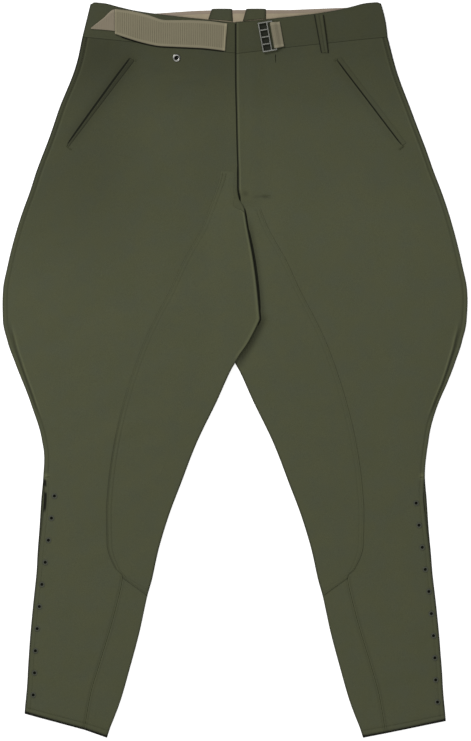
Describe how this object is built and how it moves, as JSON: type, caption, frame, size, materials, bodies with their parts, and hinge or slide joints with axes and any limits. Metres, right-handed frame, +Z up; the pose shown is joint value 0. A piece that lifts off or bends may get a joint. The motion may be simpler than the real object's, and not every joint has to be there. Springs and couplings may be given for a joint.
{
  "type": "military riding breeches",
  "caption": "Wool riding breeches laid flat: flared thighs, saddle patches on the inner legs, slanted pockets, laced calf slits and a webbing belt with a ladder buckle.",
  "frame": {"origin": "centre of the garment's outline, on the surface that it lies on", "axes": "+X towards the wearer's left, +Y towards the waist, +Z up from the surface, out of the front"},
  "size_m": [0.66, 1.046, 0.012],
  "materials": {
    "cloth": "olive drab wool serge, matt, slightly fulled",
    "patch": "olive drab wool serge, double stitched at its edge",
    "lining": "tan cotton drill",
    "webbing": "khaki ribbed cotton webbing",
    "steel": "dull grey steel, worn",
    "eyelet": "olive paint, matt, worn to dull metal at the rim"
  },
  "bodies": {
    "root": {"front_panel_left": "cloth", "front_panel_right": "cloth", "shin_panel_left": "cloth", "shin_panel_right": "cloth", "saddle_patch_left": "patch", "saddle_patch_right": "patch", "front_waistband_left": "cloth", "front_waistband_right": "cloth", "pocket_welt_left": "cloth", "pocket_welt_right": "cloth", "back_panel_left": "cloth", "back_panel_right": "cloth", "back_saddle_patch_left": "patch", "back_saddle_patch_right": "patch", "back_waistband_left": "cloth", "back_waistband_right": "cloth", "back_loop_left": "cloth", "back_loop_right": "cloth", "waist_lining": "lining", "belt_loop": "cloth", "belt_strap": "webbing", "belt_strap_fold": "webbing", "ladder_buckle": "steel", "buckle_webbing": "webbing", "waist_ring": "steel", "calf_eyelet_left_01": "eyelet", "calf_eyelet_left_02": "eyelet", "calf_eyelet_left_03": "eyelet", "calf_eyelet_left_04": "eyelet", "calf_eyelet_left_05": "eyelet", "calf_eyelet_left_06": "eyelet", "calf_eyelet_left_07": "eyelet", "calf_eyelet_left_08": "eyelet", "calf_eyelet_left_09": "eyelet", "calf_eyelet_left_10": "eyelet", "calf_eyelet_right_01": "eyelet", "calf_eyelet_right_02": "eyelet", "calf_eyelet_right_03": "eyelet", "calf_eyelet_right_04": "eyelet", "calf_eyelet_right_05": "eyelet", "calf_eyelet_right_06": "eyelet", "calf_eyelet_right_07": "eyelet", "calf_eyelet_right_08": "eyelet", "calf_eyelet_right_09": "eyelet", "calf_eyelet_right_10": "eyelet"}
  },
  "joints": []
}
